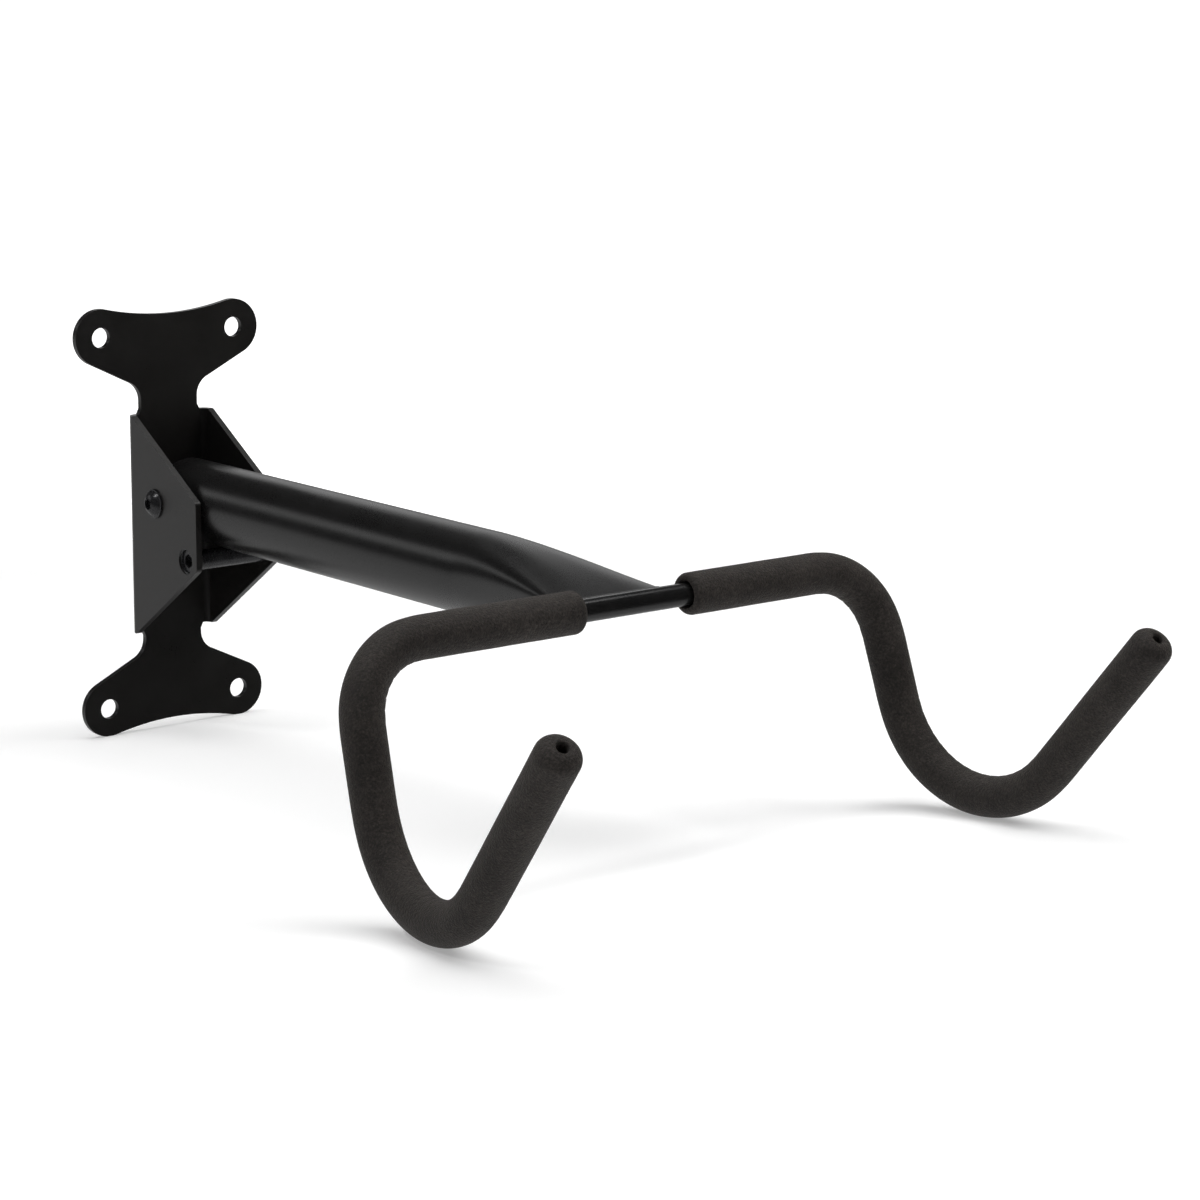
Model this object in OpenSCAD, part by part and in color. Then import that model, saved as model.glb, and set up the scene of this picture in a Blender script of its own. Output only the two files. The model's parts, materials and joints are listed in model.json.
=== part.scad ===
// Folding bicycle wall rack: a folded sheet bracket, an arm that swings up on one bolt,
// and a bent crossbar whose two hooks wear foam sleeves.
// The wall is the plane y = 0 and the arm reaches towards -Y; +Z is up.
// The origin is the middle of the four wall holes, on the wall side of the bracket.

/* [Wall bracket] */
// Distance between the upper and the lower row of wall holes
hole_rows = 180; // [160:1:220]
// Distance between the two wall holes of a row
hole_spacing = 73; // [66:1:84]
// Diameter of a wall hole
hole_d = 9.6; // [6:0.1:11]
// Radius of the rounded ear around each wall hole
ear_r = 13.6; // [11:0.1:15]
// Sheet thickness of the bracket
sheet = 3; // [2.5:0.1:3.5]
// Width of the waist between the ears and the flanges
waist_w = 31; // [26:0.5:34]
// Outside width across the two flanges
channel_w = 45.5; // [45.5:0.1:48]
// Reach of the flanges from the wall
flange_reach = 62.5; // [61:0.5:70]

/* [Pivot and stop] */
// Distance of the pivot bolt from the wall
pivot_out = 25.8; // [25.4:0.1:30]
// Height of the pivot bolt above the middle of the bracket
pivot_z = 12.7; // [10:0.1:14]
// Upward slope of the arm in use, in degrees
arm_tilt = 0.5; // [0:0.1:1.5]
// Distance of the stop pin from the wall
stop_out = 52.8; // [50:0.1:56]
// Diameter of the stop pin that the arm rests on
stop_d = 9.5; // [8:0.1:10]

/* [Arm] */
// Outside diameter of the arm tube
tube_d = 38; // [36:0.1:38]
// Wall thickness of the arm tube
tube_wall = 2; // [1.5:0.1:2.5]
// Distance along the arm from the pivot to the crossbar
bar_reach = 326; // [250:1:400]
// Height of the crossbar above the arm's axis
bar_rise = 2.9; // [0:0.1:5]
// Length of the pressed, tapering end of the arm tube
taper_length = 86; // [60:1:110]

/* [Crossbar and hooks] */
// Diameter of the round steel bar
bar_d = 9.5; // [8:0.1:12]
// Distance between the corners where the crossbar turns into the hooks
hook_spacing = 265; // [220:1:340]
// Depth of the corner at the bottom of a hook, below the crossbar
hook_drop = 140.7; // [120:0.1:170]
// Distance of that bottom corner in front of the crossbar
hook_forward = 44.2; // [30:0.1:60]
// Distance of that bottom corner outside the crossbar's corner
hook_outward = 7.2; // [0:0.1:15]
// Height of the hook's tip above the bottom corner
tip_rise = 131.7; // [110:0.1:150]
// Distance of the hook's tip in front of the bottom corner
tip_forward = 104.3; // [80:0.1:130]
// Distance of the hook's tip outside the bottom corner
tip_outward = 10; // [0:0.1:20]
// Centreline radius of the bend at the crossbar
corner_bend = 30.8; // [24:0.1:34]
// Centreline radius of the bend at the bottom of the hook
hook_bend = 46.9; // [35:0.1:50]

/* [Foam sleeves] */
// Outside diameter of a foam sleeve
foam_d = 17.6; // [15:0.1:24]
// Length of bare crossbar between the two sleeves
foam_gap = 56; // [40:1:90]
// Distance of the middle of that bare length from the arm's middle, towards +X
foam_shift = 3; // [-5:0.5:5]

/* [Hidden] */
$fn = 96;

eps = 0.01;
gap = 0.05;                 // clearance of pieces that touch
bolt_fit = 0.2;             // clearance of the pivot bolt in the sheet and under its nut

// Bracket
hole_x = hole_spacing / 2;
hole_z = hole_rows / 2;
waist_x = waist_w / 2;
waist_z = 58.4;             // height of the narrowest place
waist_fillet = 10;
shoulder_angle = 27.8;      // slope of the straight edge from the ear down to the waist
crown_r = 140;              // hollow edge between the two ears
crown_d = sqrt(pow(crown_r + ear_r, 2) - hole_x * hole_x);
channel_x = channel_w / 2;
fold_r = 6;                 // outside radius of the fold
fold_top = 51.8;
fold_bottom = -54;
front_top = 17.8;           // the flange's front edge
front_bottom = -14.3;
corner_r = 2.5;
corner_steps = 6;
relief_h = 2.6;             // the web widens from the waist to the fold over this height
shoulder_dip = 0.05;        // the shoulder's edge crosses the fillet instead of touching it

// Pivot bolt: M8 with a low round head
bolt_r = 4;
bolt_length = 60;
head_r = 7;
head_h = 4.4;
head_rim_h = 0.9;           // the crown of the head is a dome that meets this rim
head_crown_r = 7.6;
hex_key = 5;
hex_depth = 2.6;
washer_r = 8;
washer_h = 1.6;
nut_af = 13;
nut_h = 6.4;
collar_r = 6;
collar_h = 1.8;
insert_r = 5.2;
insert_sink = 0.3;          // the nylon ring sits this far below the collar's edge
sleeve_r = 6;
friction_r = 10;

// Stop pin: M12 head screwed into the left flange and its boss, plain pin beyond
tube_r = tube_d / 2;
stop_r = stop_d / 2;
stop_z = pivot_z + (stop_out - pivot_out) * tan(arm_tilt) - (tube_r + stop_r) / cos(arm_tilt) - gap;
stop_head_r = 6;
stop_head_sink = 1.6;
boss_r = 7;
boss_length = 2.5;
stop_key = 6;
stop_key_depth = 3;

// Arm
rear_cut = 9;               // tube left behind the pivot, on its axis
rear_slant = 9;             // the rear end is cut back at the top, in degrees
bar_r = bar_d / 2;
flat_bite = 0.6;            // the flat end is melted this far into the crossbar by the welds
flat_end = bar_reach - bar_r + flat_bite;
flat_h = 2 * tube_wall;
flat_w = 52;
flat_closed = 14;           // length over which the tube is pressed shut
pressed_gap = 0.2;          // where the inside of the tube closes
taper_start = flat_end - taper_length;
weld_r = 1.9;
weld_inset = 3;             // from the flat end's edge to the end of the bead
weld_back = 0.2;

// Foam
foam_r = foam_d / 2;
tip_hole_r = 2.6;
tip_round = 5.6;
inner_round = 3;
tip_wall = 5;               // foam beyond the end of the bar
sweep_sides = 24;
corner_bend_steps = 8;
hook_bend_steps = 12;

// Corners of the bar's centreline on the +X side, as [x, height above the arm's axis, reach]
bar_middle = [0, bar_rise, bar_reach];
corner_top = [hook_spacing / 2, bar_rise, bar_reach];
corner_bottom = corner_top + [hook_outward, -hook_drop, hook_forward];
foam_tip = corner_bottom + [tip_outward, tip_rise, tip_forward];
tip_direction = unit(foam_tip - corner_bottom);
bar_tip = foam_tip - tip_wall * tip_direction;

function unit(v) = v / norm(v);
function turn(a, b, c) = acos(unit(b - a) * unit(c - b));
function setback(a, b, c, r) = r * tan(turn(a, b, c) / 2);
function point_on(p, r, angle) = p + r * [cos(angle), sin(angle)];
function reversed(list) = [for (i = [len(list) - 1:-1:0]) list[i]];

// A station of a sweep is [centre, direction, radius]. These are the stations round the
// bend at b, between the runs a-b and b-c.
function bend_stations(a, b, c, bend_r, r, steps) =
    let (
        along = unit(b - a),
        inward = cross(unit(cross(along, unit(c - b))), along),
        centre = b - along * setback(a, b, c, bend_r) + bend_r * inward
    )
    [for (i = [0:steps]) let (t = turn(a, b, c) * i / steps)
        [centre + bend_r * (sin(t) * along - cos(t) * inward), cos(t) * along + sin(t) * inward, r]];

// The two bends of the +X hook at radius r
function hook_stations(r) = concat(
    bend_stations(bar_middle, corner_top, corner_bottom, corner_bend, r, corner_bend_steps),
    bend_stations(corner_top, corner_bottom, foam_tip, hook_bend, r, hook_bend_steps)
);

function other_side(station) = let (p = station[0], d = station[1])
    [[-p.x, p.y, p.z], [d.x, -d.y, -d.z], station[2]];

// Stations of a rounded edge that starts at p and ends edge_r further on, at the end face
function edge_stations(p, direction, r, edge_r) =
    [for (t = [0:22.5:90]) [p + direction * edge_r * sin(t), direction, r - edge_r * (1 - cos(t))]];

function station_ring(station) =
    let (
        u = unit(cross(station[1], [1, 0, 1])),
        v = cross(station[1], u)
    )
    [for (i = [0:sweep_sides - 1]) let (t = 360 * i / sweep_sides)
        station[0] + station[2] * (cos(t) * u + sin(t) * v)];

// Skins the rings of a list of stations; the ends are capped, or joined where closed is true
module sweep(stations, closed = false) {
    n = sweep_sides;
    last = len(stations) - 1;
    sides = [for (k = [0:closed ? last : last - 1], i = [0:n - 1])
        let (j = (i + 1) % n, up = (k + 1) % (last + 1))
        [k * n + i, k * n + j, up * n + j, up * n + i]];
    caps = closed ? [] : [[for (i = [n - 1:-1:0]) i], [for (i = [0:n - 1]) last * n + i]];
    polyhedron([for (station = stations) each station_ring(station)], concat(sides, caps));
}

module ring(outer_r, inner_r) {
    difference() {
        circle(r = outer_r);
        circle(r = inner_r);
    }
}

// Places a piece on the pivot or the stop, with its length along +X from x
module across(x, out, z) {
    translate([x, -out, z]) rotate([0, 90, 0]) children();
}

// The arm's own frame: x as is, y up from the arm's axis, z along the arm from the pivot
module on_arm() {
    translate([0, -pivot_out, pivot_z]) rotate([90 - arm_tilt, 0, 0]) children();
}

// One end of the web: two ears, their sloping shoulders and the waist
module ears() {
    ear = [hole_x, hole_z];
    fillet = [waist_x + waist_fillet, waist_z];
    crown = [0, hole_z + crown_d];
    half = [
        point_on(crown, crown_r, -90 + atan(hole_x / crown_d)),
        ear,
        point_on(ear, ear_r, shoulder_angle - 90),
        point_on(fillet, waist_fillet - shoulder_dip, shoulder_angle + 90),
        fillet,
        [waist_x, waist_z]
    ];
    difference() {
        union() {
            for (side = [-1, 1]) translate([side * hole_x, hole_z]) circle(r = ear_r);
            polygon(concat(half, [for (i = [len(half) - 1:-1:0]) [-half[i].x, half[i].y]]));
        }
        translate(crown) circle(r = crown_r, $fn = 360);
        for (side = [-1, 1]) {
            translate([side * fillet.x, fillet.y]) circle(r = waist_fillet);
            translate([side * hole_x, hole_z]) circle(d = hole_d);
        }
    }
}

module web_outline() {
    fold_x = channel_x - fold_r;
    ears();
    mirror([0, 1]) ears();
    polygon([
        [waist_x, waist_z], [waist_x, fold_top + relief_h], [fold_x, fold_top],
        [fold_x, fold_bottom], [waist_x, fold_bottom - relief_h], [waist_x, -waist_z],
        [-waist_x, -waist_z], [-waist_x, fold_bottom - relief_h], [-fold_x, fold_bottom],
        [-fold_x, fold_top], [-waist_x, fold_top + relief_h], [-waist_x, waist_z]
    ]);
}

// Outline of a flange as [reach from the wall, height]
module flange_outline() {
    top_slope = atan((fold_top - front_top) / (flange_reach - fold_r));
    low_slope = atan((front_bottom - fold_bottom) / (flange_reach - fold_r));
    top_back = corner_r * tan((90 - top_slope) / 2);
    low_back = corner_r * tan((90 - low_slope) / 2);
    top_corner = [flange_reach - corner_r, front_top - top_back];
    low_corner = [flange_reach - corner_r, front_bottom + low_back];
    polygon(concat(
        [[fold_r, fold_bottom], [fold_r, fold_top]],
        [for (i = [0:corner_steps])
            point_on(top_corner, corner_r, (90 - top_slope) * (1 - i / corner_steps))],
        [for (i = [0:corner_steps])
            point_on(low_corner, corner_r, -(90 - low_slope) * i / corner_steps)]
    ));
}

// The flange on the +X side, with a round hole for the pivot and one for the stop
module flange(stop_hole_r) {
    translate([channel_x, 0, 0]) rotate([90, 0, -90]) linear_extrude(sheet)
        difference() {
            flange_outline();
            translate([pivot_out, pivot_z]) circle(r = bolt_r + bolt_fit);
            translate([stop_out, stop_z]) circle(r = stop_hole_r);
        }
    translate([channel_x - fold_r, -fold_r, fold_bottom])
        linear_extrude(fold_top - fold_bottom)
            intersection() {
                ring(fold_r, fold_r - sheet);
                square(fold_r);
            }
}

module wall_bracket() {
    color("#1b1a1a") {
        rotate([90, 0, 0]) linear_extrude(sheet) web_outline();
        flange(stop_r + gap);
        mirror([1, 0, 0]) flange(stop_head_r + gap);
    }
}

module stop_boss() {
    color("#232222")
        across(-channel_x + sheet, stop_out, stop_z)
            linear_extrude(boss_length) ring(boss_r, stop_head_r + gap);
}

module stop_pin() {
    head_start = -channel_x + stop_head_sink;
    head_end = -channel_x + sheet + boss_length;
    color("#2a2929") {
        difference() {
            across(head_start, stop_out, stop_z) cylinder(r = stop_head_r, h = head_end - head_start);
            across(head_start - eps, stop_out, stop_z)
                cylinder(d = stop_key / cos(30), h = stop_key_depth, $fn = 6);
        }
        across(head_end - eps, stop_out, stop_z) cylinder(r = stop_r, h = channel_x - head_end);
    }
}

module pivot_bolt() {
    color("#26282c")
        across(-channel_x, pivot_out, pivot_z) {
            cylinder(r = bolt_r, h = bolt_length);
            difference() {
                union() {
                    translate([0, 0, -head_rim_h]) cylinder(r = head_r, h = head_rim_h);
                    intersection() {
                        translate([0, 0, -head_h]) cylinder(r = head_r, h = head_h);
                        translate([0, 0, head_crown_r - head_h]) sphere(r = head_crown_r);
                    }
                }
                translate([0, 0, -head_h - eps]) cylinder(d = hex_key / cos(30), h = hex_depth, $fn = 6);
            }
        }
}

module nut_washer() {
    color("#26282c")
        across(channel_x, pivot_out, pivot_z) linear_extrude(washer_h) ring(washer_r, bolt_r + bolt_fit);
}

module pivot_nut() {
    color("#26282c")
        across(channel_x + washer_h, pivot_out, pivot_z) {
            difference() {
                cylinder(d = nut_af / cos(30), h = nut_h, $fn = 6);
                translate([0, 0, -eps]) cylinder(r = bolt_r + gap, h = nut_h + 2 * eps);
            }
            translate([0, 0, nut_h - eps]) linear_extrude(collar_h) ring(collar_r, insert_r + gap);
        }
}

module nut_insert() {
    color("#3d5c8a")
        across(channel_x + washer_h + nut_h, pivot_out, pivot_z)
            linear_extrude(collar_h - insert_sink) ring(insert_r, bolt_r + gap);
}

// side is -1 on the bolt head's side and 1 on the nut's side
module friction_washer(side) {
    room = channel_x - sheet - tube_r;
    middle = side * (channel_x - sheet - room / 2 + gap / 2);
    across(middle - room / 2 + gap, pivot_out, pivot_z)
        linear_extrude(room - 2 * gap) ring(friction_r, bolt_r + gap);
}

module friction_washer_left() {
    color("#d9d7cf") friction_washer(-1);
}

module friction_washer_right() {
    color("#d9d7cf") friction_washer(1);
}

// The pressed end: from a round section to a flat one at the crossbar's height
module taper(grow, flat_thickness, end) {
    hull() {
        translate([0, 0, taper_start]) linear_extrude(eps) circle(r = tube_r + grow - gap, $fn = 64);
        translate([0, bar_rise, end - eps]) linear_extrude(eps)
            square([flat_w + 2 * grow, flat_thickness], center = true);
    }
}

module arm_tube() {
    color("#1d1d1e")
        on_arm() difference() {
            union() {
                translate([0, 0, -tube_r]) cylinder(r = tube_r, h = taper_start + tube_r);
                taper(0, flat_h, flat_end);
            }
            translate([0, 0, -tube_d]) cylinder(r = tube_r - tube_wall, h = taper_start + tube_d + eps);
            taper(-tube_wall, pressed_gap, flat_end - flat_closed);
            translate([0, 0, -rear_cut]) rotate([rear_slant, 0, 0])
                translate([0, 0, -tube_d]) cube([2 * tube_d, 3 * tube_d, 2 * tube_d], center = true);
            rotate([0, 90, 0]) cylinder(r = sleeve_r + gap, h = 2 * tube_d, center = true);
        }
}

module pivot_sleeve() {
    color("#1d1d1e")
        across(-tube_r, pivot_out, pivot_z) linear_extrude(tube_d) ring(sleeve_r, bolt_r + gap);
}

module hook_bar() {
    half = concat(hook_stations(bar_r), [[bar_tip, tip_direction, bar_r]]);
    color("#121213")
        on_arm() sweep(concat([for (station = reversed(half)) other_side(station)], half));
}

// A bead along the crossbar; side is 1 above the flat end and -1 below it
module bar_weld(side) {
    color("#171717")
        on_arm()
            translate([-flat_w / 2 + weld_inset, bar_rise + side * flat_h / 2, bar_reach - bar_r - weld_back])
                rotate([0, 90, 0]) cylinder(r = weld_r, h = flat_w - 2 * weld_inset);
}

module bar_weld_top() {
    bar_weld(1);
}

module bar_weld_bottom() {
    bar_weld(-1);
}

// A sleeve on the +X hook that starts at x on the crossbar
module foam(x) {
    start = [x, bar_rise, bar_reach];
    outside = concat(
        [for (station = reversed(edge_stations([0, 0, 0], [1, 0, 0], foam_r, inner_round)))
            [start + [inner_round, 0, 0] - station[0], [1, 0, 0], station[2]]],
        hook_stations(foam_r),
        edge_stations(foam_tip - tip_round * tip_direction, tip_direction, foam_r, tip_round)
    );
    inside = concat(
        [[start, [1, 0, 0], bar_r + gap]],
        hook_stations(bar_r + gap),
        [
            [bar_tip + gap * tip_direction, tip_direction, bar_r + gap],
            [bar_tip + gap * tip_direction, tip_direction, tip_hole_r],
            [foam_tip, tip_direction, tip_hole_r]
        ]
    );
    on_arm() sweep(concat(outside, reversed(inside)), closed = true);
}

module foam_left() {
    color("#35302c") mirror([1, 0, 0]) foam(foam_gap / 2 - foam_shift);
}

module foam_right() {
    color("#35302c") foam(foam_gap / 2 + foam_shift);
}

wall_bracket();
stop_boss();
stop_pin();
pivot_bolt();
pivot_nut();
nut_insert();
nut_washer();
friction_washer_left();
friction_washer_right();
arm_tube();
pivot_sleeve();
hook_bar();
bar_weld_top();
bar_weld_bottom();
foam_left();
foam_right();
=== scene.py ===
"""Folding bicycle wall rack: the looks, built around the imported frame.

Everything is in metres. The wall is the plane y = 0, the arm reaches towards -Y and +Z is up.
"""

import json
import math

import bmesh
import bpy
from mathutils import Matrix, Vector, noise


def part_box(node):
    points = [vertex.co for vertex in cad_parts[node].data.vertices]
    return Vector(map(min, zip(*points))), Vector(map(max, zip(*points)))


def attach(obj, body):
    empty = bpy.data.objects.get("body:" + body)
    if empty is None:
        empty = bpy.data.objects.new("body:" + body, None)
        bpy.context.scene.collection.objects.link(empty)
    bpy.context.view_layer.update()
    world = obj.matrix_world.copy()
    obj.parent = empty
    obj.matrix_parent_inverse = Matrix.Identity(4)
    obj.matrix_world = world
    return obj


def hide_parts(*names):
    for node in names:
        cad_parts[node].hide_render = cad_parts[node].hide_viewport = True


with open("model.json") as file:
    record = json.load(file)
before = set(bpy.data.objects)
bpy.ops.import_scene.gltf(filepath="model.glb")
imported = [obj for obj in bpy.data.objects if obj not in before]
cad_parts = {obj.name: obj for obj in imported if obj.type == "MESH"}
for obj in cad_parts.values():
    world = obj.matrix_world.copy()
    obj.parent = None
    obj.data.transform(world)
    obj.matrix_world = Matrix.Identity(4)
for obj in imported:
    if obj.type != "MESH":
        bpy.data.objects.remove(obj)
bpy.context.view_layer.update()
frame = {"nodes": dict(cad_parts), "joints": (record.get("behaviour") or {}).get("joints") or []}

# ---------------------------------------------------------------- dimensions

PIVOT = Vector(frame["joints"][0]["pos_m"])
ARM_TILT = math.radians(0.5)
ALONG = Vector((0, -math.cos(ARM_TILT), math.sin(ARM_TILT)))
UP = Vector((0, math.sin(ARM_TILT), math.cos(ARM_TILT)))
SIDE = Vector((1, 0, 0))

TUBE_R = 0.019
TUBE_WALL = 0.002
REAR_CUT = 0.009
REAR_SLANT = math.radians(9)
BAR_R = 0.00475
BAR_REACH = 0.326
BAR_RISE = 0.0029
FLAT_BITE = 0.0006          # the flat end is melted this far into the crossbar
FLAT_END = BAR_REACH - BAR_R + FLAT_BITE
FLAT_W = 0.056
FLAT_H = 0.004
TAPER = 0.090

# Corners of the +X half of the bar, in the arm's own frame, and the bends at the middle two
HOOK_CORNERS = [
    Vector((0, BAR_RISE, BAR_REACH)),
    Vector((0.1325, BAR_RISE, BAR_REACH)),
    Vector((0.1397, BAR_RISE - 0.1407, BAR_REACH + 0.0442)),
    Vector((0.1497, BAR_RISE - 0.009, BAR_REACH + 0.1485)),
]
BEND_RADII = [0.0308, 0.0469]

PATH_STEP = 0.0015

FOAM_R = 0.0088
# Side of each sleeve, where it starts on the crossbar, and how far its tip stands past the CAD one
FOAM_SLEEVES = {"foam_left": (-1, 0.025, 0.0055), "foam_right": (1, 0.031, 0.0008)}
TIP_WALL = 0.005            # foam past the end of the bar
TIP_HOLE_R = 0.0024

# What the rack stands on: the bracket's foot at y = 0, and the bottoms of the hooks
REST_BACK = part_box("wall_bracket")[0].z
REST_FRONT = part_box("foam_left")[0].z
HOOK_BOTTOM_Y = -0.4144


def arm_point(p):
    """A point of the arm's own frame, (x, height above the axis, reach), in the shared frame."""
    return PIVOT + SIDE * p[0] + UP * p[1] + ALONG * p[2]


def smooth_step(t):
    t = min(1.0, max(0.0, t))
    return t * t * (3 - 2 * t)


# ---------------------------------------------------------------- mesh helpers

def new_object(name, bm, body, material, smooth_angle=35):
    """Makes a piece from bm, shaded smooth up to smooth_angle degrees, riding on a body."""
    bmesh.ops.recalc_face_normals(bm, faces=bm.faces)
    mesh = bpy.data.meshes.new(name)
    bm.to_mesh(mesh)
    bm.free()
    for polygon in mesh.polygons:
        polygon.use_smooth = True
    mesh.set_sharp_from_angle(angle=math.radians(smooth_angle))
    mesh.materials.append(material)
    piece = bpy.data.objects.new(name, mesh)
    bpy.context.scene.collection.objects.link(piece)
    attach(piece, body)
    return piece


def skin(bm, rings, closed=False):
    """Joins rings of points, all with the same count, into a surface with flat ends."""
    rows = [[bm.verts.new(p) for p in ring] for ring in rings]
    count = len(rows[0])
    last = len(rows) if closed else len(rows) - 1
    for k in range(last):
        low, high = rows[k], rows[(k + 1) % len(rows)]
        for i in range(count):
            j = (i + 1) % count
            bm.faces.new((low[i], low[j], high[j], high[i]))
    if not closed:
        bm.faces.new(rows[0][::-1])
        bm.faces.new(rows[-1])


UPWARD = Vector((0, 1, 0))  # up in the arm's own frame, square to the crossbar


class Path:
    """A centreline of straights and bends, as points with directions at even steps."""

    def __init__(self, corners, radii, step=PATH_STEP):
        self.points = []
        start = corners[0]
        for a, b, c, radius in zip(corners, corners[1:], corners[2:], radii):
            along, onward = (b - a).normalized(), (c - b).normalized()
            turn = along.angle(onward)
            setback = radius * math.tan(turn / 2)
            inward = along.cross(onward).cross(along).normalized()
            enter = b - along * setback
            self.straight(start, enter, step)
            centre = enter + inward * radius
            steps = round(radius * turn / step)
            for i in range(steps):
                t = turn * i / steps
                self.points.append(centre + radius * (math.sin(t) * along - math.cos(t) * inward))
            start = b + onward * setback
        self.straight(start, corners[-1], step)
        self.points.append(corners[-1].copy())
        self.lengths = [0.0]
        for p, q in zip(self.points, self.points[1:]):
            self.lengths.append(self.lengths[-1] + (q - p).length)
        self.frames = self.transported()

    def straight(self, start, end, step):
        count = round((end - start).length / step)
        self.points += [start.lerp(end, i / count) for i in range(count)]

    def transported(self):
        """Direction and two normals at each point, carried along without twist."""
        count = len(self.points)
        directions = []
        for i in range(count):
            before, after = self.points[max(i - 1, 0)], self.points[min(i + 1, count - 1)]
            directions.append((after - before).normalized())
        normal = UPWARD
        frames = []
        for i, direction in enumerate(directions):
            if i:
                normal = directions[i - 1].rotation_difference(direction) @ normal
            frames.append((direction, normal, direction.cross(normal)))
        return frames

    @property
    def length(self):
        return self.lengths[-1]

    def at(self, s):
        """Point and frame at arc length s; past an end it runs on straight."""
        if s <= 0:
            return self.points[0] + self.frames[0][0] * s, self.frames[0]
        if s >= self.length:
            return self.points[-1] + self.frames[-1][0] * (s - self.length), self.frames[-1]
        low, high = 0, len(self.lengths) - 1
        while high - low > 1:
            middle = (low + high) // 2
            if self.lengths[middle] <= s:
                low = middle
            else:
                high = middle
        share = (s - self.lengths[low]) / (self.lengths[high] - self.lengths[low])
        point = self.points[low].lerp(self.points[high], share)
        blended = [a.lerp(b, share).normalized() for a, b in zip(self.frames[low], self.frames[high])]
        return point, tuple(blended)

    def bending(self, s):
        """Curvature vector at arc length s, from the change of direction."""
        reach = 0.002
        before, after = self.at(s - reach)[1][0], self.at(s + reach)[1][0]
        return (after - before) / (2 * reach)


def helix_ridge(bm, start, end, radius, height, pitch, inward=False, steps=40):
    """A threaded ridge round the X axis: a triangular section swept along a helix."""
    turns = (end.x - start.x) / pitch
    count = round(turns * steps)
    sign = -1 if inward else 1
    half = 0.42 * pitch
    root = 0.05 * height
    run_out = 8             # the thread fades in and out over an eighth of a turn
    rings = []
    for i in range(count + 1):
        t = i / count
        angle = 2 * math.pi * turns * t
        centre = start.lerp(end, t)
        fade = min(1.0, run_out * min(t, 1 - t) * turns)
        out = Vector((0, math.cos(angle), math.sin(angle)))
        rings.append([
            centre + out * radius - SIDE * half,
            centre + out * (radius + sign * height * fade),
            centre + out * radius + SIDE * half,
            centre + out * (radius - sign * root),
        ])
    skin(bm, rings)


# ---------------------------------------------------------------- materials

class Nodes:
    """Builds one material's node tree around its Principled shader."""

    def __init__(self, name):
        self.material = bpy.data.materials.new(name)
        self.material.use_nodes = True
        self.tree = self.material.node_tree
        self.shader = self.tree.nodes["Principled BSDF"]
        self.place = self.add("ShaderNodeTexCoord").outputs["Object"]

    def add(self, kind, inputs=None, **settings):
        node = self.tree.nodes.new(kind)
        for key, value in settings.items():
            setattr(node, key, value)
        for key, value in (inputs or {}).items():
            self.feed(node.inputs[key], value)
        return node

    def feed(self, socket, value):
        if isinstance(value, bpy.types.NodeSocket):
            self.tree.links.new(value, socket)
        else:
            socket.default_value = value

    def set(self, **values):
        for key, value in values.items():
            self.feed(self.shader.inputs[key.replace("_", " ")], value)

    def noise(self, scale, detail=4.0, roughness=0.55, distortion=0.0):
        settings = {"Vector": self.place, "Scale": scale, "Detail": detail,
                    "Roughness": roughness, "Distortion": distortion}
        return self.add("ShaderNodeTexNoise", settings).outputs["Fac"]

    def cells(self, scale):
        node = self.add("ShaderNodeTexVoronoi", {"Vector": self.place, "Scale": scale})
        return node.outputs["Distance"]

    def spread(self, value, low, high, to_low=0.0, to_high=1.0):
        """value between low and high, spread out between to_low and to_high."""
        inputs = {"Value": value, "From Min": low, "From Max": high, "To Min": to_low, "To Max": to_high}
        return self.add("ShaderNodeMapRange", inputs).outputs["Result"]

    def colours(self, value, *stops):
        """A colour ramp over value; each stop is (position, colour)."""
        ramp = self.add("ShaderNodeValToRGB", {"Fac": value})
        elements = ramp.color_ramp.elements
        while len(elements) < len(stops):
            elements.new(0.5)
        for element, (position, colour) in zip(elements, stops):
            element.position = position
            element.color = (*colour, 1)
        return ramp.outputs["Color"]

    def sum(self, a, b, share_b):
        """a plus a share of b."""
        return self.add("ShaderNodeMath", {0: b, 1: share_b, 2: a}, operation="MULTIPLY_ADD").outputs[0]

    def bump(self, height, strength, distance):
        inputs = {"Height": height, "Strength": strength, "Distance": distance}
        self.set(Normal=self.add("ShaderNodeBump", inputs).outputs["Normal"])


def powder_coat():
    """Satin powder coat: a fine pebble, slight drift of shade and roughness."""
    n = Nodes("powder_coat")
    drift = n.noise(38, detail=3)
    pebble = n.noise(1500, detail=2, roughness=0.6)
    n.set(Base_Color=n.colours(drift, (0.3, (0.0080, 0.0074, 0.0070)), (0.7, (0.0120, 0.0112, 0.0107))))
    n.set(Roughness=n.spread(n.sum(pebble, drift, 0.6), 0.5, 1.1, 0.27, 0.38))
    n.set(Specular_IOR_Level=0.42)
    n.bump(pebble, 0.14, 0.00008)
    return n.material


def arm_coat():
    """The arm's smoother, semi-gloss coat with a soft orange peel."""
    n = Nodes("arm_coat")
    drift = n.noise(30, detail=3)
    peel = n.noise(620, detail=2, roughness=0.45)
    fine = n.noise(2600, detail=2)
    n.set(Base_Color=n.colours(drift, (0.3, (0.0040, 0.0039, 0.0039)), (0.7, (0.0062, 0.0060, 0.0060))))
    n.set(Roughness=n.spread(n.sum(fine, drift, 0.7), 0.5, 1.2, 0.25, 0.33))
    n.set(Specular_IOR_Level=0.5)
    n.bump(n.sum(peel, fine, 0.15), 0.06, 0.00012)
    return n.material


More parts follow.
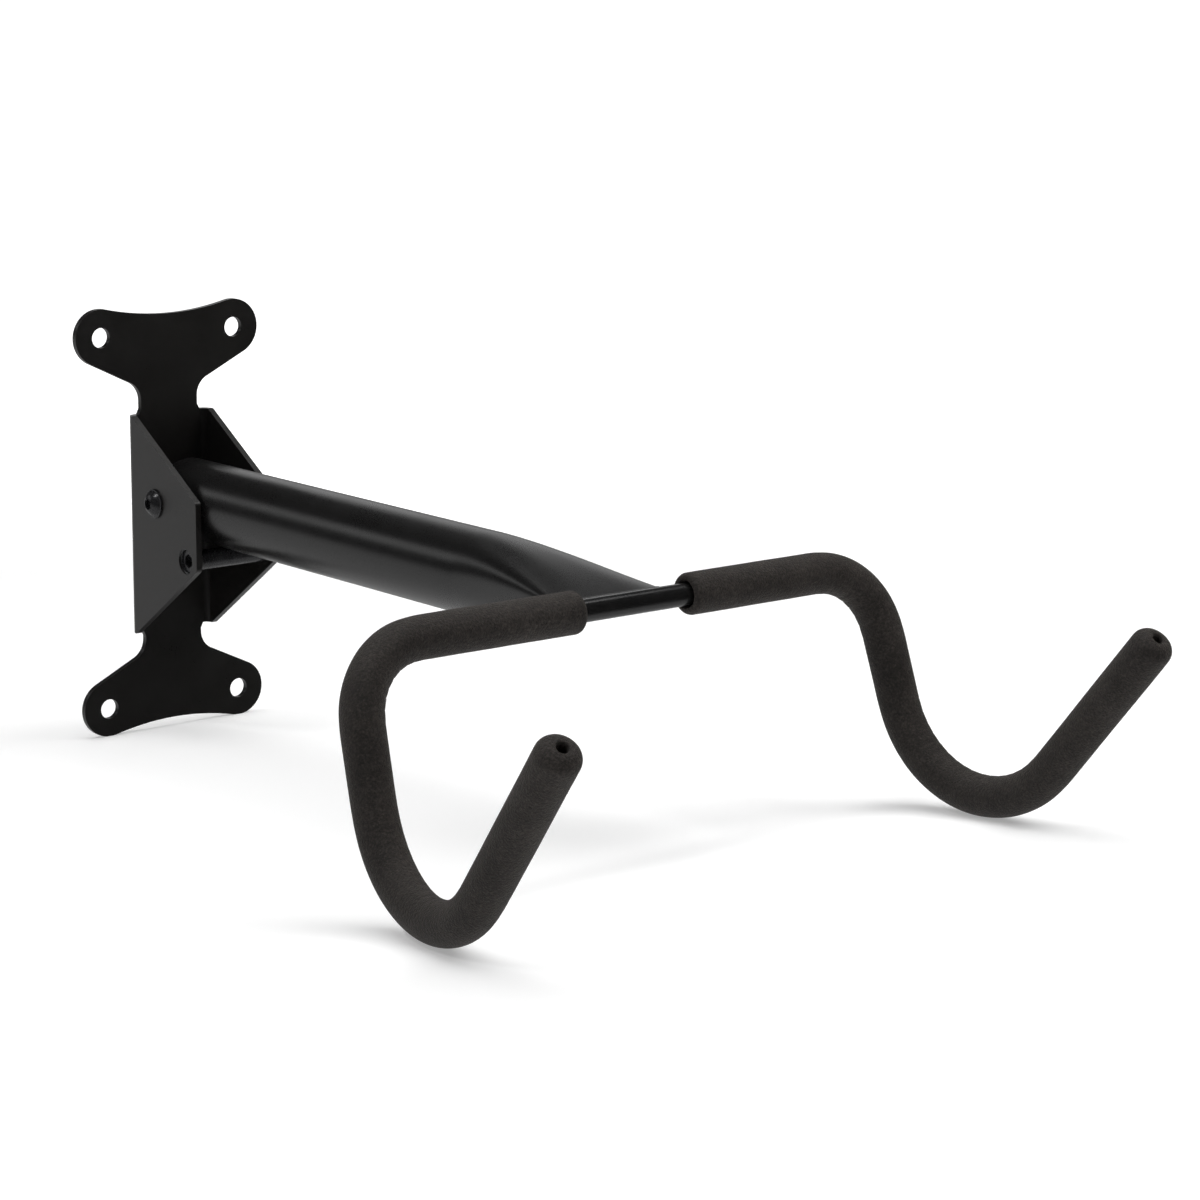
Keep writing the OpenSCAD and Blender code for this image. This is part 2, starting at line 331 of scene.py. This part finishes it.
def gloss_coat():
    """The crossbar's gloss coat."""
    n = Nodes("gloss_coat")
    drift = n.noise(55, detail=3)
    peel = n.noise(900, detail=2)
    n.set(Base_Color=n.colours(drift, (0.3, (0.0050, 0.0050, 0.0051)), (0.7, (0.0075, 0.0074, 0.0075))))
    n.set(Roughness=n.spread(drift, 0.3, 0.7, 0.20, 0.26))
    n.bump(peel, 0.06, 0.00015)
    return n.material


def weld_coat():
    """Coat over a weld: one fine noise bumps it and makes it rougher on the crests; its colour is lighter
    on the crests, a painted highlight, and darker in the hollows, painted shade.
    """
    n = Nodes("weld_coat")
    spatter_and_painted_light = n.noise(1100, detail=4)
    # The colour follows the bump: lighter on its crests is painted highlight, darker in its hollows is
    # painted shade
    n.set(Base_Color=n.colours(spatter_and_painted_light, (0.35, (0.0055, 0.0054, 0.0054)), (0.7, (0.0100, 0.0098, 0.0096))))
    n.set(Roughness=n.spread(spatter_and_painted_light, 0.3, 0.7, 0.25, 0.42))
    n.bump(spatter_and_painted_light, 0.25, 0.0002)
    return n.material


def black_steel():
    """Blackened steel of the screws: dark, slightly metallic, faintly brushed."""
    n = Nodes("black_steel")
    grain = n.noise(1800, detail=4)
    drift = n.noise(150, detail=3)
    n.set(Base_Color=n.colours(drift, (0.3, (0.014, 0.014, 0.015)), (0.7, (0.026, 0.026, 0.028))))
    n.set(Metallic=0.35)
    n.set(Roughness=n.spread(grain, 0.3, 0.7, 0.19, 0.30))
    n.bump(grain, 0.12, 0.00006)
    return n.material


def zinc():
    """Zinc plate: bright grey with the cloudy flowers of the plating."""
    n = Nodes("zinc_plate")
    flowers = n.cells(420)
    grain = n.noise(2400, detail=3)
    n.set(Base_Color=n.colours(flowers, (0.1, (0.42, 0.42, 0.43)), (0.8, (0.58, 0.57, 0.55))))
    n.set(Metallic=1.0)
    n.set(Roughness=n.spread(n.sum(grain, flowers, 0.5), 0.3, 1.1, 0.26, 0.44))
    n.bump(grain, 0.12, 0.00005)
    return n.material


def nylon(name, dark, light):
    """Moulded nylon: waxy, with faint flow marks."""
    n = Nodes(name)
    flow = n.noise(260, detail=4, distortion=0.6)
    n.set(Base_Color=n.colours(flow, (0.3, dark), (0.7, light)))
    n.set(Roughness=n.spread(flow, 0.3, 0.7, 0.38, 0.52))
    n.set(Subsurface_Weight=0.1, Subsurface_Scale=0.0005)
    n.bump(flow, 0.1, 0.0001)
    return n.material


def foam_rubber():
    """Closed-cell foam: a matte skin with a fine grain of pores and soft mottling."""
    n = Nodes("foam_rubber")
    mottle = n.noise(60, detail=5, roughness=0.6)
    grain = n.noise(1000, detail=6, roughness=0.75)
    pores = n.cells(1100)
    shade = n.sum(grain, mottle, 0.22)
    n.set(Base_Color=n.colours(
        shade,
        (0.46, (0.0078, 0.0063, 0.0054)),
        (0.61, (0.0205, 0.0170, 0.0147)),
        (0.78, (0.0500, 0.0425, 0.0375)),
    ))
    n.set(Roughness=n.spread(grain, 0.3, 0.7, 0.60, 0.82))
    n.set(Specular_IOR_Level=0.32)
    n.set(Sheen_Weight=0.08, Sheen_Roughness=0.4, Sheen_Tint=(1.0, 0.93, 0.87, 1))
    n.bump(n.sum(grain, pores, 0.5), 0.9, 0.0005)
    return n.material


POWDER = powder_coat()
ARM_COAT = arm_coat()
GLOSS = gloss_coat()
WELD_COAT = weld_coat()
BLACK_STEEL = black_steel()
ZINC = zinc()
BLUE_NYLON = nylon("blue_nylon", (0.030, 0.075, 0.190), (0.045, 0.105, 0.250))
WHITE_NYLON = nylon("white_nylon", (0.62, 0.61, 0.56), (0.74, 0.73, 0.68))
FOAM = foam_rubber()


# ---------------------------------------------------------------- bracket and fasteners

def finish_node(name, material, bevel):
    """Gives a CAD node its material and a real edge: rounded corners that catch the light."""
    node = frame["nodes"][name]
    node.data.materials.clear()
    node.data.materials.append(material)
    for polygon in node.data.polygons:
        polygon.use_smooth = True
        polygon.material_index = 0
    node.modifiers.new("weld", "WELD").merge_threshold = MERGE_WITHIN
    edge = node.modifiers.new("edge", "BEVEL")
    edge.width = bevel
    edge.segments = 3
    edge.limit_method = "ANGLE"
    edge.angle_limit = SHARPER_THAN
    edge.use_clamp_overlap = True
    node.modifiers.new("normals", "WEIGHTED_NORMAL").weight = FLAT_FACE_WEIGHT


MERGE_WITHIN = 1e-6
SHARPER_THAN = math.radians(32)
FLAT_FACE_WEIGHT = 80

# Each CAD node that stays: its material and how far its edges are rounded
NODE_FINISHES = {
    "wall_bracket": (POWDER, 0.0006),
    "stop_boss": (POWDER, 0.0005),
    "stop_pin": (BLACK_STEEL, 0.00025),
    "pivot_bolt": (BLACK_STEEL, 0.0003),
    "pivot_nut": (ZINC, 0.0003),
    "nut_insert": (BLUE_NYLON, 0.0001),
    "nut_washer": (ZINC, 0.0002),
    "friction_washer_left": (WHITE_NYLON, 0.0001),
    "friction_washer_right": (WHITE_NYLON, 0.0001),
    "pivot_sleeve": (ARM_COAT, 0.0003),
}


def stop_thread():
    """The thread of the tapped stop hole, where it shows in front of the sunk pin."""
    low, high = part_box("stop_pin")
    centre_y, centre_z = (low.y + high.y) / 2, (low.z + high.z) / 2
    washer = 0.0016             # the nut's washer, between the nut and the far flange
    flange_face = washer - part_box("pivot_nut")[0].x
    lead_in = 0.0005
    clear_of_pin = 0.00005
    bm = bmesh.new()
    start = Vector((flange_face + lead_in, centre_y, centre_z))
    end = Vector((low.x - clear_of_pin, centre_y, centre_z))
    helix_ridge(bm, start, end, radius=0.00606, height=0.0006, pitch=0.0009, inward=True)
    return new_object("stop_hole_thread", bm, "bracket", BLACK_STEEL)


def bolt_thread():
    """The rolled thread on the end of the pivot bolt that stands out of its nut."""
    bolt_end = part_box("pivot_bolt")[1].x
    nut_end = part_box("pivot_nut")[1].x
    inside_nut = 0.002
    plain_end = 0.0007
    bm = bmesh.new()
    start = Vector((nut_end - inside_nut, PIVOT.y, PIVOT.z))
    end = Vector((bolt_end - plain_end, PIVOT.y, PIVOT.z))
    helix_ridge(bm, start, end, radius=0.00395, height=0.00045, pitch=0.00125)
    return new_object("pivot_bolt_thread", bm, "bracket", BLACK_STEEL)


# ---------------------------------------------------------------- arm

CORNER_CUT = 0.0015         # the flat end's corners are rounded by this much
CORNER_START = 0.95         # from this share of the taper on


def tube_section(reach, inset, sides=96):
    """One ring of the arm: round, then pressed flatter and wider towards the crossbar."""
    t = min(1.0, max(0.0, (reach - (FLAT_END - TAPER)) / TAPER))
    pressed = t ** 1.6
    widened = t ** 1.5
    half_w = TUBE_R + (FLAT_W / 2 - TUBE_R) * widened - inset
    half_h = TUBE_R + (FLAT_H / 2 - TUBE_R) * pressed - inset
    corner_cut = CORNER_CUT * smooth_step((t - CORNER_START) / (1 - CORNER_START)) ** 2
    squareness = 2 / (2 + 1.5 * t)      # the exponent of a superellipse, from round to boxy
    rise = BAR_RISE * pressed
    ring = []
    for i in range(sides):
        angle = 2 * math.pi * i / sides
        c, s = math.cos(angle), math.sin(angle)
        x = math.copysign((half_w - corner_cut) * abs(c) ** squareness, c)
        y = math.copysign(half_h * abs(s) ** squareness, s) + rise
        ring.append((x, y))
    return ring


def arm_tube():
    """The arm: a tube whose front end is pressed flat on to the crossbar."""
    def ring(reach, inset, slanted=False):
        points = []
        for x, y in tube_section(reach, inset):
            along = reach + (y * math.tan(REAR_SLANT) if slanted else 0)
            points.append(arm_point((x, y, along)))
        return points

    edge = 0.0004
    straight_start = 0.012      # in front of this the rings are no longer slanted
    straight_rings = 4
    taper_start = FLAT_END - TAPER
    hollow_end = FLAT_END - 0.45 * TAPER
    steps, inner_steps = 70, 20
    rings = [ring(straight_start, TUBE_WALL), ring(edge - REAR_CUT, TUBE_WALL, True)]
    rings += [ring(-REAR_CUT, TUBE_WALL - edge, True), ring(-REAR_CUT, edge, True)]
    rings += [ring(edge - REAR_CUT, 0, True), ring(straight_start, 0)]
    rings += [ring(straight_start + (taper_start - straight_start) * i / straight_rings, 0)
              for i in range(1, straight_rings)]
    rings += [ring(taper_start + TAPER * i / steps, 0) for i in range(steps)]
    rings += [ring(FLAT_END - edge, 0), ring(FLAT_END, edge)]
    inside = [ring(taper_start + (hollow_end - taper_start) * i / inner_steps, TUBE_WALL)
              for i in range(inner_steps + 1)]
    bm = bmesh.new()
    skin(bm, inside[::-1] + rings)
    piece = new_object("arm_tube_pressed", bm, "arm", ARM_COAT, smooth_angle=50)
    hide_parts("arm_tube")
    return piece


def circle_ring(point, normal, binormal, radius, sides, side=1):
    """Points of a round section, in the shared frame; side -1 mirrors it to the other hook."""
    ring = []
    for i in range(sides):
        angle = 2 * math.pi * i / sides
        p = point + normal * (radius * math.cos(angle)) + binormal * (radius * math.sin(angle))
        ring.append(arm_point((side * p.x, p.y, p.z)))
    return ring


def crossbar(path):
    """One bent bar from tip to tip, with chamfered ends."""
    sides = 48
    chamfer = 0.0006
    end = path.length - TIP_WALL
    steps = [PATH_STEP * i for i in range(1, int((end - chamfer) / PATH_STEP))] + [end - chamfer]
    stations = [(s, BAR_R) for s in steps] + [(end, BAR_R - chamfer)]

    def ring(s, radius, side):
        point, (_, normal, binormal) = path.at(s)
        return circle_ring(point, normal, binormal, radius, sides, side)

    middle = ring(0, BAR_R, 1)
    right = [ring(s, radius, 1) for s, radius in stations]
    left = [ring(s, radius, -1) for s, radius in reversed(stations)]
    # A mirrored ring starts elsewhere and runs the other way round, so each is put in step
    nearest = left[-1]
    shift = min(range(sides), key=lambda m: (nearest[m] - middle[0]).length)
    onward = (nearest[(shift + 1) % sides] - middle[1]).length
    backward = (nearest[shift - 1] - middle[1]).length
    turn = 1 if onward < backward else -1
    left = [[points[(shift + turn * i) % sides] for i in range(sides)] for points in left]
    bm = bmesh.new()
    skin(bm, left + [middle] + right)
    piece = new_object("crossbar", bm, "arm", GLOSS)
    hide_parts("hook_bar")
    return piece


def weld_bead(name, side):
    """A bead along the crossbar with the overlapping ripples of the weld pool."""
    low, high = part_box(name)
    centre_y, centre_z = (low.y + high.y) / 2, (low.z + high.z) / 2
    radius = (high.z - low.z) / 2
    pitch, sides, per_ripple = 0.0019, 28, 8
    crest, hollow, unevenness = 0.05, 0.03, 0.05        # as shares of the bead's radius
    sway, lag = 0.00015, 0.0006
    count = round((high.x - low.x) / pitch) * per_ripple
    rings = []
    for i in range(count + 1):
        x = low.x + (high.x - low.x) * i / count
        phase = (i % per_ripple) / per_ripple
        ripple = crest * math.sqrt(phase) - hollow
        ripples_in = min(i, count - i) / per_ripple
        ends = min(1.0, 0.25 + 1.2 * math.sqrt(ripples_in / 1.5))
        wander = sway * noise.noise(Vector((x * 160, side, 0)))
        uneven = unevenness * noise.noise(Vector((x * 420, 3 * side, 1)))
        swell = radius * (ends + ripple + uneven)
        ring = []
        for k in range(sides):
            angle = 2 * math.pi * k / sides
            lean = lag * math.cos(angle) ** 2
            ring.append(Vector((x - lean, centre_y + swell * math.sin(angle) + wander,
                                centre_z + swell * math.cos(angle))))
        rings.append(ring)
    bm = bmesh.new()
    skin(bm, rings)
    piece = new_object(name + "_rippled", bm, "arm", WELD_COAT)
    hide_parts(name)
    return piece


# ---------------------------------------------------------------- foam sleeves

def foam_sleeve(node, path):
    """A foam tube pushed over the hook: round ends, a mouth that gapes, creases in its bends."""
    side, start, longer = FOAM_SLEEVES[node]
    sides = 64
    tip = path.length + longer
    dome = 0.0056               # rounding of the tip
    lip = 0.0026                # rounding of the end on the crossbar
    crease_pitch, crease_depth = 0.0062, 0.00030
    bulging, flattening, unevenness = 0.00025, 0.00035, 0.00012
    full_bend = 1 / 0.03        # curvature from which on the foam is creased in full

    def skin_radius(s, out):
        """Outer radius at arc length s, on the side that out points to."""
        bend = path.bending(s)
        bent = bend.length > 1
        strength = min(1.0, bend.length / full_bend)
        facing = out.dot(bend.normalized() if bent else bend)
        inner = max(0.0, facing) if bent else 0.0
        outer = max(0.0, -facing)
        shift = 1.7 * noise.noise(Vector((s * 90, side, 0)))
        crease = max(0.0, math.sin(2 * math.pi * s / crease_pitch + shift))
        fold = crease_depth * strength * inner ** 2 * crease ** 3
        bulge = bulging * strength * inner
        flat = flattening * strength * outer
        drift = unevenness * noise.noise(Vector((s * 45, 2 * side, 0)) + out * 0.8)
        return FOAM_R - fold + bulge - flat + drift

    # Stations of the outside: arc length, and how far the surface is below the skin there
    lip_steps, dome_steps, body_step = 6, 9, 0.0011
    stations = [(start + lip * (1 - math.cos(t)), -lip * (1 - math.sin(t)))
                for t in [math.pi / 2 * i / lip_steps for i in range(lip_steps + 1)]]
    body_start, body_end = start + lip, tip - dome
    count = round((body_end - body_start) / body_step)
    stations += [(body_start + (body_end - body_start) * i / count, 0.0) for i in range(1, count)]
    stations += [(body_end + dome * math.sin(t), -dome * (1 - math.cos(t)))
                 for t in [math.pi / 2 * i / dome_steps for i in range(dome_steps + 1)]]
    rings = []

    def add_ring(s, radius_of):
        point, (_, normal, binormal) = path.at(s)
        ring = []
        for i in range(sides):
            angle = 2 * math.pi * i / sides
            out = normal * math.cos(angle) + binormal * math.sin(angle)
            p = point + out * radius_of(s, out)
            ring.append(arm_point((side * p.x, p.y, p.z)))
        rings.append(ring)

    def add_round(s, radius):
        add_ring(s, lambda *_: radius)

    for s, offset in stations:
        add_ring(s, lambda at, out, offset=offset: skin_radius(at, out) + offset)
    # Back inside: the hole in the tip, the bore on the bar, and the mouth that gapes a little
    hole_edge = 0.0005
    add_round(tip, TIP_HOLE_R + hole_edge)
    add_round(tip - hole_edge, TIP_HOLE_R)
    bar_end = path.length - TIP_WALL + 0.0002
    bore = BAR_R + 0.0001
    add_round(bar_end, TIP_HOLE_R)
    add_round(bar_end, bore)
    inner_steps = 150
    inner_start, inner_end = start + 0.011, bar_end - 0.004
    for i in range(inner_steps + 1):
        add_round(inner_end + (inner_start - inner_end) * i / inner_steps, bore)
    mouth, mouth_edge = 0.0007, 0.0005
    add_round(start + 0.007, BAR_R + 0.6 * mouth)
    add_round(start + 0.0008, BAR_R + mouth)
    add_round(start, BAR_R + mouth + mouth_edge)
    bm = bmesh.new()
    skin(bm, rings, closed=True)
    piece = new_object(node + "_sleeve", bm, "arm", FOAM, smooth_angle=60)
    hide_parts(node)
    return piece


# ---------------------------------------------------------------- stage, light and camera

def camera():
    """The photograph's view: from the left, a little above, with a long lens."""
    place = Vector((-0.80379, -1.34070, 0.29596))
    target = Vector((0.1482, -0.1500, -0.03418))
    roll = math.radians(0.5)
    back = (place - target).normalized()
    right = (-back).cross(Vector((0, 0, 1))).normalized()
    up = right.cross(-back)
    rolled_right = right * math.cos(roll) + up * math.sin(roll)
    rolled_up = up * math.cos(roll) - right * math.sin(roll)
    data = bpy.data.cameras.new("camera")
    data.lens = 97.66
    data.sensor_width = 36
    data.clip_start, data.clip_end = 0.05, 100
    eye = bpy.data.objects.new("camera", data)
    axes = Matrix((rolled_right, rolled_up, back)).transposed()
    eye.matrix_world = Matrix.Translation(place) @ axes.to_4x4()
    bpy.context.scene.collection.objects.link(eye)
    bpy.context.scene.camera = eye


FLOOR_HALF = 30
DOME_R = 14                 # well inside the far clip of the cameras


def floor():
    """A plain white floor that the bracket and the bottoms of the hooks rest on."""
    mesh = bpy.data.meshes.new("floor")
    half = FLOOR_HALF
    slope = (REST_FRONT - REST_BACK) / HOOK_BOTTOM_Y
    outline = ((-half, -half), (half, -half), (half, half), (-half, half))
    corners = [(x, y, REST_BACK + slope * y) for x, y in outline]
    mesh.from_pydata(corners, [], [(0, 1, 2, 3)])
    # The floor glows too, more so beyond the reach of the lamps, so that it stays white
    n = Nodes("white_floor")
    away = n.add("ShaderNodeVectorMath", {0: n.place}, operation="LENGTH").outputs["Value"]
    n.set(Base_Color=(0.75, 0.75, 0.75, 1), Roughness=0.9, Specular_IOR_Level=0.1)
    n.set(Emission_Color=(1, 1, 1, 1), Emission_Strength=n.spread(away, 0.55, 0.95, 0.33, 1.1))
    mesh.materials.append(n.material)
    ground = bpy.data.objects.new("floor", mesh)
    ground.visible_glossy = False
    bpy.context.scene.collection.objects.link(ground)


def backdrop():
    """A white dome outside the lights, which only the camera sees."""
    bm = bmesh.new()
    bmesh.ops.create_uvsphere(bm, u_segments=48, v_segments=24, radius=DOME_R)
    mesh = bpy.data.meshes.new("backdrop")
    bm.to_mesh(mesh)
    bm.free()
    n = Nodes("white_backdrop")
    n.set(Base_Color=(0, 0, 0, 1), Emission_Color=(1, 1, 1, 1), Emission_Strength=1.1)
    mesh.materials.append(n.material)
    dome = bpy.data.objects.new("backdrop", mesh)
    for ray in ("diffuse", "glossy", "transmission", "volume_scatter", "shadow"):
        setattr(dome, "visible_" + ray, False)
    bpy.context.scene.collection.objects.link(dome)


def softbox(name, place, target, size, power, glossy=True):
    """A rectangular area light at place, facing target; glossy says if reflections show it."""
    data = bpy.data.lights.new(name, "AREA")
    data.shape = "RECTANGLE"
    data.size, data.size_y = size
    data.energy = power
    lamp = bpy.data.objects.new(name, data)
    lamp.location = place
    lamp.rotation_mode = "QUATERNION"
    lamp.rotation_quaternion = (Vector(place) - Vector(target)).to_track_quat("Z", "Y")
    lamp.visible_camera = False
    lamp.visible_glossy = glossy
    bpy.context.scene.collection.objects.link(lamp)


def studio():
    """Soft light from overhead, the right front and the upper left, and strips behind for the gloss."""
    middle = (0.0, -0.2, 0.0)
    softbox("overhead", (0.1, -0.1, 1.5), middle, (1.7, 1.3), 22)
    softbox("key_right", (1.2, -1.0, 1.5), middle, (1.2, 1.2), 20, glossy=False)
    softbox("upper_left", (-1.25, 0.05, 1.65), middle, (0.22, 0.22), 7)
    softbox("back_left_strip", (-1.5, 1.55, 0.95), middle, (1.6, 0.42), 2.6)
    softbox("back_right_strip", (1.9, 2.2, 0.95), middle, (1.8, 1.1), 5)
    world = bpy.data.worlds.new("studio")
    world.use_nodes = True
    tree = world.node_tree

    def node(kind, **settings):
        made = tree.nodes.new(kind)
        for key, value in settings.items():
            setattr(made, key, value)
        return made

    def spread(values):
        """Spreads its input from the first two values to the last two, clamped."""
        made = node("ShaderNodeMapRange", clamp=True)
        for socket, value in zip(("From Min", "From Max", "To Min", "To Max"), values):
            made.inputs[socket].default_value = value
        return made

    # The white floor as the gloss sees it: bright below and behind, dark towards the viewer
    direction = node("ShaderNodeTexCoord").outputs["Generated"]
    tilt = node("ShaderNodeVectorMath", operation="DOT_PRODUCT")
    tilt.inputs[1].default_value = (0, 0.55, -1)
    height = node("ShaderNodeSeparateXYZ")
    below = spread((-0.05, 0.03, 1.0, 0.0))
    glow = spread((-0.05, 0.3, 0.0, 0.55))
    both = node("ShaderNodeMath", operation="MULTIPLY_ADD")
    tree.links.new(direction, tilt.inputs[0])
    tree.links.new(direction, height.inputs[0])
    tree.links.new(tilt.outputs["Value"], glow.inputs["Value"])
    tree.links.new(height.outputs["Z"], below.inputs["Value"])
    tree.links.new(glow.outputs["Result"], both.inputs[0])
    tree.links.new(below.outputs["Result"], both.inputs[1])
    room_light = 0.028
    both.inputs[2].default_value = room_light
    tree.links.new(both.outputs[0], tree.nodes["Background"].inputs["Color"])
    bpy.context.scene.world = world
    bpy.context.scene.view_settings.view_transform = "Standard"


# ---------------------------------------------------------------- build

camera()
for name, (material, bevel) in NODE_FINISHES.items():
    finish_node(name, material, bevel)
stop_thread()
bolt_thread()
arm_tube()
hooks = Path(HOOK_CORNERS, BEND_RADII)
crossbar(hooks)
weld_bead("bar_weld_top", 1)
weld_bead("bar_weld_bottom", -1)
for sleeve in FOAM_SLEEVES:
    foam_sleeve(sleeve, hooks)
floor()
backdrop()
studio()
